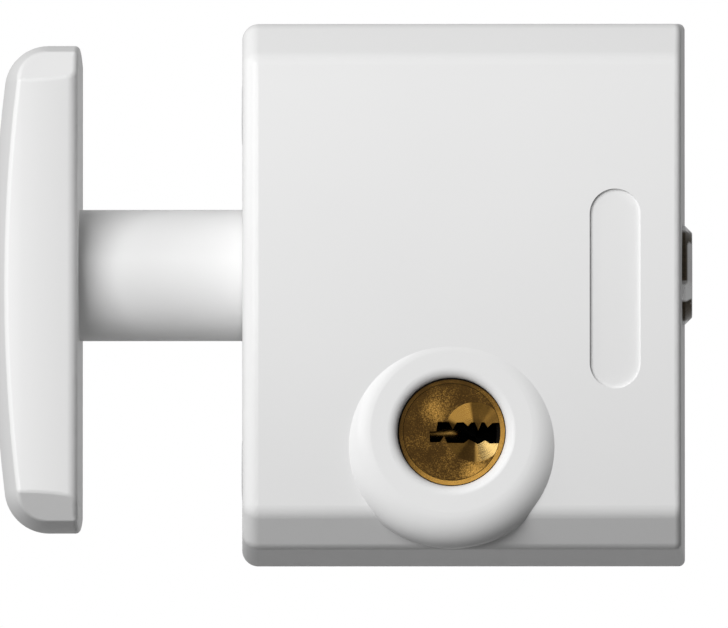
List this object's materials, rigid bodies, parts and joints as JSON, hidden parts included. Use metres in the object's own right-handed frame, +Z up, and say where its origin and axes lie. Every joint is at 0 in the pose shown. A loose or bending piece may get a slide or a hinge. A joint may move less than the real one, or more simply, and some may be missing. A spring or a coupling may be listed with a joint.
{
  "type": "window lock",
  "caption": "Surface-mounted window lock: a domed push plate drives a round bolt through a rounded case, and a key cylinder in a raised ring lifts a fork that locks it.",
  "frame": {"origin": "the middle of the base plate's back face, which lies against the window", "axes": "+X points out of the bolt's nose, +Y into the window, +Z up; the front with the key faces -Y"},
  "size_m": [0.0852, 0.0335, 0.0666],
  "materials": {
    "white_paint": "smooth powder coat, semi-gloss",
    "bright_steel": "turned and polished",
    "zinc_steel": "zinc plated",
    "spring_steel": "drawn wire",
    "bush_plastic": "moulded acetal",
    "brass": "turned brass"
  },
  "bodies": {
    "case": {"housing": "white_paint", "base_plate": "zinc_steel", "cover_screws": "zinc_steel", "left_bush": "bush_plastic", "right_bush": "bush_plastic", "spring_washer": "zinc_steel", "return_spring": "spring_steel", "cylinder_body": "brass", "driver_pins": "brass", "pin_springs": "spring_steel", "chamber_strip": "brass", "mechanism_plate": "zinc_steel", "plate_screws": "zinc_steel", "fork_guide_pins": "bright_steel", "bolt_guide_pin": "bright_steel"},
    "bolt": {"handle": "white_paint", "bolt": "bright_steel", "cross_pin": "bright_steel"},
    "plug": {"plug": "brass", "key_pins": "brass", "cam": "zinc_steel", "cam_screw": "zinc_steel"},
    "fork": {"locking_fork": "zinc_steel"}
  },
  "joints": [
    {"name": "bolt_slide", "type": "slide", "parent": "case", "child": "bolt", "axis": [1, 0, 0], "range_m": [0, 0.019], "stiffness_N_per_m": 500, "springref_m": -0.012, "deforming": ["return_spring"]},
    {"name": "plug_turn", "type": "hinge", "parent": "case", "child": "plug", "pos_m": [-0.0012, -0.0321, -0.01785], "axis": [0, -1, 0], "range_deg": [0, 90]},
    {"name": "fork_slide", "type": "slide", "parent": "case", "child": "fork", "axis": [0, 0, 1], "range_m": [0, 0.0054]}
  ],
  "couplings": [
    {"joint": "fork_slide", "follows": "plug_turn", "m_per_rad": 0.0034212}
  ]
}
